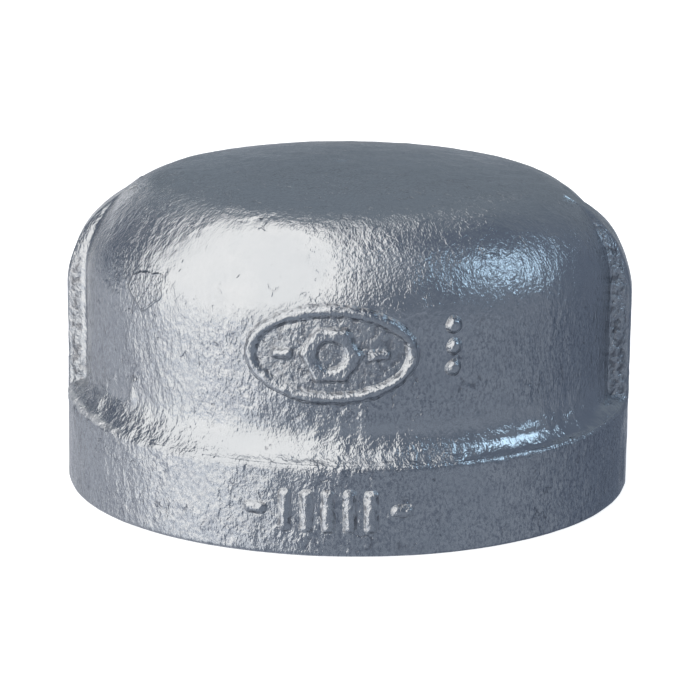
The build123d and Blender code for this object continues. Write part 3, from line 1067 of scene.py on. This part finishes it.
class Sky(Nodes):
    """Adds patches of the world's shading, by the directions that they lie in."""

    def __init__(self, tree):
        super().__init__(tree)
        self.way = self.add("ShaderNodeTexCoord").outputs["Generated"]
        self.height = self.add("ShaderNodeSeparateXYZ", {0: self.way}).outputs[2]

    def facing(self, toward, low, high):
        """0 to 1 as the cosine of the angle to a direction goes from low to high."""
        return self.ranged(self.vector("DOT_PRODUCT", {0: self.way, 1: toward}, "Value"), low, high)

    def lobe(self, azimuth, elevation, inner, outer):
        """A round patch: 1 inside the inner angle from its middle and 0 outside the outer one."""
        low, high = math.cos(math.radians(outer)), math.cos(math.radians(inner))
        return self.facing(direction(azimuth, elevation), low, high)

    def wedge(self, start, end, soft):
        """1 between two azimuths, fading over soft at both sides."""
        sides = [self.facing(direction(side, 0), -soft, soft) for side in (start + 90, end - 90)]
        return self.times(*sides)

    def left_of(self, first, second, soft):
        """1 on the left of the great circle that goes from one direction to another."""
        return self.facing(direction(*first).cross(direction(*second)).normalized(), -soft, soft)

    def rise(self, low, high):
        """0 to 1 as the elevation goes from low to high."""
        return self.ranged(self.height, math.sin(math.radians(low)), math.sin(math.radians(high)))


def room_colour(n):
    """A dim cool room with a wall of light, as the metal mirrors it."""
    # paler low down, darker at the right back, and paler again behind
    room = n.mix(n.rise(-25, 30), (0.29, 0.325, 0.38, 1), (0.17, 0.20, 0.25, 1))
    room = n.mix(n.wedge(102, 170, 0.2), room, (0.15, 0.18, 0.235, 1))
    room = n.mix(n.lobe(184, 24, 18, 50), room, (0.235, 0.272, 0.312, 1))
    # a pale bench low on the left, and a pale patch high over the front
    low_left = n.times(n.wedge(-190, -85, 0.15), n.math("SUBTRACT", 1.0, n.rise(-12, 4)))
    room = n.mix(low_left, room, (0.525, 0.545, 0.59, 1))
    room = n.mix(n.lobe(10, 66, 5, 20), room, (0.55, 0.59, 0.64, 1))
    # the wall of light, from the left to the middle of the front, and further back high up
    wall_colour = n.mix(n.rise(-17.2, -13), (1.06, 1.08, 1.11, 1), (1.36, 1.33, 1.28, 1))
    left_end, back_end = n.left_of((-109, 46), (-91, -13), 0.06), n.left_of((180, 55), (-122, 48), 0.06)
    right_end, top_end = n.left_of((-27, -15), (-1, 24), 0.06), n.left_of((4, 0), (4, 60), 0.05)
    wall = n.times(n.math("MAXIMUM", left_end, back_end), n.times(right_end, top_end))
    room = n.mix(wall, room, wall_colour)
    # at the left back: a dark patch, and lower down a pale one with a bright spot in it
    room = n.mix(n.lobe(-123, 22, 9, 31), room, (0.13, 0.155, 0.205, 1))
    room = n.mix(n.lobe(-148, 3, 6, 18), room, (0.46, 0.48, 0.52, 1))
    room = n.mix(n.lobe(-158, 1, 3, 10), room, (1.05, 1.06, 1.08, 1))
    # mottled below, like a cluttered bench, and even from 22 degrees up
    clutter = n.ranged(n.noise(n.way, 12.0, 4.0, 0.65), 0.36, 0.64, 0.56, 1.40)
    lumen = n.blend(n.rise(0, 22), clutter, 1.0)
    return n.vector("SCALE", {0: room, "Scale": lumen})


def make_world():
    """White to the camera, and the room to everything that it lights."""
    world = bpy.data.worlds.new("studio")
    bpy.context.scene.world = world
    world.use_nodes = True
    world.node_tree.nodes.clear()
    n = Sky(world.node_tree)
    seen = n.add("ShaderNodeLightPath").outputs["Is Camera Ray"]
    colour = n.mix(seen, room_colour(n), (1.0, 1.0, 1.0, 1))
    background = n.add("ShaderNodeBackground", {"Color": colour, "Strength": 1.0})
    n.add("ShaderNodeOutputWorld", {"Surface": background.outputs[0]})


# degrees and millimetres
CAMERA_AZIMUTH, CAMERA_ELEVATION = 3.6, 13.83
CAMERA_DISTANCE, CAMERA_ROLL = 298.5, 0.62
CAMERA_LENS, CAMERA_SENSOR = 162.8, 36.0
AIM_DROP, AIM_SIDE = 3.11, 0.115    # so the cap stands a little above the middle of the picture


def make_camera():
    data = bpy.data.cameras.new("camera")
    data.lens, data.sensor_width = CAMERA_LENS, CAMERA_SENSOR
    camera = add_object("camera", data)
    back = direction(CAMERA_AZIMUTH, CAMERA_ELEVATION)
    middle = Vector((0, 0, HEIGHT / 2)) * MM
    eye = middle + back * CAMERA_DISTANCE * MM
    up = Vector((0, 0, 1)) - back * back.z
    up.normalize()
    aim = middle - up * AIM_DROP * MM + up.cross(back) * AIM_SIDE * MM
    camera.location = eye
    turn = (aim - eye).to_track_quat("-Z", "Y").to_matrix().to_4x4()
    camera.rotation_euler = (turn @ Matrix.Rotation(math.radians(CAMERA_ROLL), 4, "Z")).to_euler()
    data.clip_start, data.clip_end = 0.01, 20.0
    bpy.context.scene.camera = camera


make_floor()
make_world()
softbox("cool_window", azimuth=85, elevation=34, width=0.22, height=0.24, radiance=1.75,
        colour=(0.62, 0.84, 1.0))
make_camera()
bpy.context.scene.view_settings.view_transform = "Standard"
